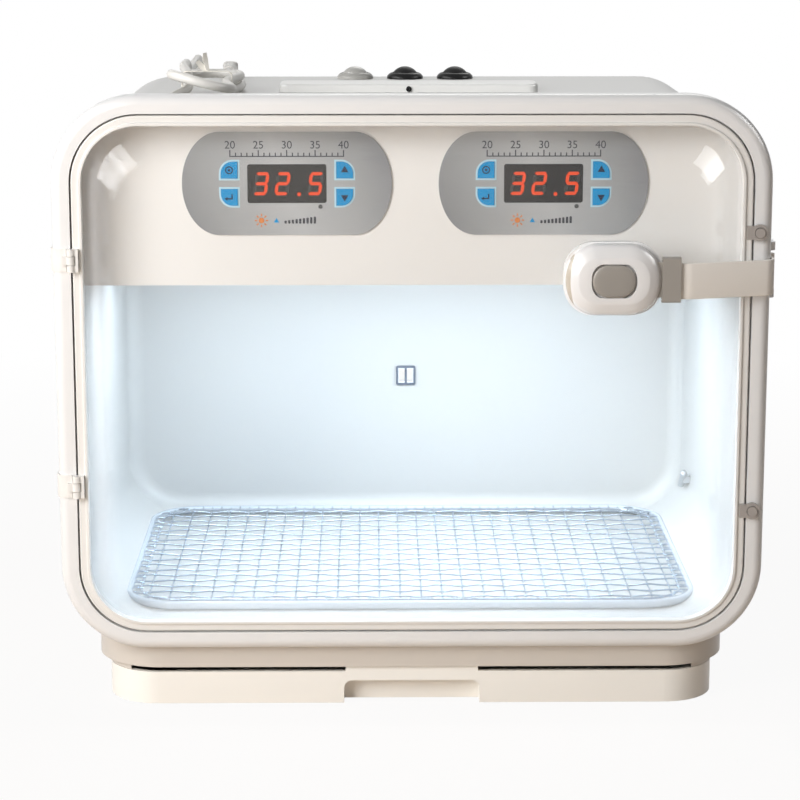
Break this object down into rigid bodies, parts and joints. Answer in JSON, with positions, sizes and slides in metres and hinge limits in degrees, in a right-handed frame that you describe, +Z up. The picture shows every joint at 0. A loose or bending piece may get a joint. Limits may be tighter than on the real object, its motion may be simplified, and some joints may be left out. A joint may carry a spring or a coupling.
{
  "type": "bird brooder",
  "caption": "Heated rounded box for chicks with a clear hinged door, strap lock, temperature controllers, floor mat, droppings drawer and a tied mains lead",
  "frame": {"origin": "on the underside of the base pan, in the middle of the base plan", "axes": "+X to the right seen from the front, +Y to the back, +Z up; the door faces -Y"},
  "size_m": [0.4345, 0.3492, 0.3967],
  "materials": {
    "shell_white": "smooth moulded, warm white",
    "base_white": "smooth moulded, white",
    "clear_window": "clear moulded plastic",
    "fascia_cream": "fine matt",
    "overlay_silver": "satin silver film",
    "display_dark": "smoked lens",
    "key_blue": "soft film keys",
    "inner_grey": "plain moulded",
    "steel": "bright pin stock",
    "fin_metal": "plain fins",
    "led_lens": "milky lens",
    "black_plastic": "smooth black",
    "light_grey": "smooth light grey",
    "mat_white": "moulded mat",
    "lock_white": "smooth white",
    "lock_taupe": "fine matt taupe",
    "strap_cream": "soft woven-look band",
    "pad_white": "adhesive foam pad",
    "cord_white": "smooth sheath"
  },
  "bodies": {
    "housing": {"body_shell": "shell_white", "shell_back": "shell_white", "front_frame": "shell_white", "plinth": "base_white", "base_pan": "base_white", "fascia_panel": "fascia_cream", "electrics_tray": "fascia_cream", "controller_left": "inner_grey", "controller_right": "inner_grey", "overlay_left": "overlay_silver", "overlay_right": "overlay_silver", "display_windows": "display_dark", "fan_frame_left": "black_plastic", "fan_frame_right": "black_plastic", "heater_left": "fin_metal", "heater_right": "fin_metal", "power_supply": "steel", "led_bars": "led_lens", "temperature_probe": "steel", "rear_vent": "inner_grey", "top_cover": "shell_white", "cover_grommet": "black_plastic", "switch_bezels": "black_plastic", "cord_gland": "cord_white", "frame_hinge_leaves": "shell_white", "hinge_pins": "steel", "catch_pegs": "shell_white", "anchor_pad": "pad_white", "anchor_base": "lock_white", "anchor_pin": "steel", "power_cord": "cord_white", "cord_hank": "cord_white", "cord_tie": "cord_white", "power_plug": "cord_white"},
    "door": {"door_frame": "shell_white", "door_window": "clear_window", "door_hinge_leaves": "shell_white", "catch_clips": "shell_white", "lock_pad": "pad_white", "lock_base": "lock_taupe", "lock_cover": "lock_white"},
    "lock_button": {"lock_button": "lock_taupe"},
    "strap": {"strap_buckle": "lock_taupe", "strap_band": "strap_cream"},
    "drawer": {"drawer": "base_white"},
    "mat": {"mat_frame": "mat_white", "mat_mesh": "steel"},
    "fan_impeller_left": {"fan_impeller_left": "black_plastic"},
    "fan_impeller_right": {"fan_impeller_right": "black_plastic"},
    "switch_cap_light": {"switch_cap_light": "light_grey"},
    "switch_cap_heat_1": {"switch_cap_heat_1": "black_plastic"},
    "switch_cap_heat_2": {"switch_cap_heat_2": "black_plastic"},
    "set_key_left": {"set_key_left": "key_blue"},
    "enter_key_left": {"enter_key_left": "key_blue"},
    "up_key_left": {"up_key_left": "key_blue"},
    "down_key_left": {"down_key_left": "key_blue"},
    "set_key_right": {"set_key_right": "key_blue"},
    "enter_key_right": {"enter_key_right": "key_blue"},
    "up_key_right": {"up_key_right": "key_blue"},
    "down_key_right": {"down_key_right": "key_blue"}
  },
  "joints": [
    {"name": "door_swing", "type": "hinge", "parent": "housing", "child": "door", "pos_m": [-0.2025, -0.1528, 0.2115], "axis": [0, 0, -1], "range_deg": [0, 110]},
    {"name": "strap_swing", "type": "hinge", "parent": "housing", "child": "strap", "pos_m": [0.215, -0.1274, 0.271], "axis": [0, 0, 1], "range_deg": [0, 132]},
    {"name": "lock_press", "type": "slide", "parent": "door", "child": "lock_button", "axis": [0, 1, 0], "range_m": [0, 0.002], "stiffness_N_per_m": 300, "springref_m": -0.001},
    {"name": "drawer_slide", "type": "slide", "parent": "housing", "child": "drawer", "axis": [0, -1, 0], "range_m": [0, 0.2]},
    {"name": "mat_lift", "type": "slide", "parent": "housing", "child": "mat", "axis": [0, 0, 1], "range_m": [0, 0.06]},
    {"name": "fan_spin_left", "type": "hinge", "parent": "housing", "child": "fan_impeller_left", "pos_m": [-0.105, 0.04, 0.293], "axis": [0, 0, 1], "continuous": true},
    {"name": "fan_spin_right", "type": "hinge", "parent": "housing", "child": "fan_impeller_right", "pos_m": [0.105, 0.04, 0.293], "axis": [0, 0, 1], "continuous": true},
    {"name": "switch_press_light", "type": "slide", "parent": "housing", "child": "switch_cap_light", "axis": [0, 0, -1], "range_m": [0, 0.0025], "stiffness_N_per_m": 300, "springref_m": -0.001},
    {"name": "switch_press_heat_1", "type": "slide", "parent": "housing", "child": "switch_cap_heat_1", "axis": [0, 0, -1], "range_m": [0, 0.0025], "stiffness_N_per_m": 300, "springref_m": -0.001},
    {"name": "switch_press_heat_2", "type": "slide", "parent": "housing", "child": "switch_cap_heat_2", "axis": [0, 0, -1], "range_m": [0, 0.0025], "stiffness_N_per_m": 300, "springref_m": -0.001},
    {"name": "set_press_left", "type": "slide", "parent": "housing", "child": "set_key_left", "axis": [0, 1, 0], "range_m": [0, 0.0005], "stiffness_N_per_m": 100, "springref_m": -0.001},
    {"name": "enter_press_left", "type": "slide", "parent": "housing", "child": "enter_key_left", "axis": [0, 1, 0], "range_m": [0, 0.0005], "stiffness_N_per_m": 100, "springref_m": -0.001},
    {"name": "up_press_left", "type": "slide", "parent": "housing", "child": "up_key_left", "axis": [0, 1, 0], "range_m": [0, 0.0005], "stiffness_N_per_m": 100, "springref_m": -0.001},
    {"name": "down_press_left", "type": "slide", "parent": "housing", "child": "down_key_left", "axis": [0, 1, 0], "range_m": [0, 0.0005], "stiffness_N_per_m": 100, "springref_m": -0.001},
    {"name": "set_press_right", "type": "slide", "parent": "housing", "child": "set_key_right", "axis": [0, 1, 0], "range_m": [0, 0.0005], "stiffness_N_per_m": 100, "springref_m": -0.001},
    {"name": "enter_press_right", "type": "slide", "parent": "housing", "child": "enter_key_right", "axis": [0, 1, 0], "range_m": [0, 0.0005], "stiffness_N_per_m": 100, "springref_m": -0.001},
    {"name": "up_press_right", "type": "slide", "parent": "housing", "child": "up_key_right", "axis": [0, 1, 0], "range_m": [0, 0.0005], "stiffness_N_per_m": 100, "springref_m": -0.001},
    {"name": "down_press_right", "type": "slide", "parent": "housing", "child": "down_key_right", "axis": [0, 1, 0], "range_m": [0, 0.0005], "stiffness_N_per_m": 100, "springref_m": -0.001}
  ],
  "couplings": [
    {"joint": "strap_swing", "follows": "door_swing", "ratio": 1.2}
  ]
}
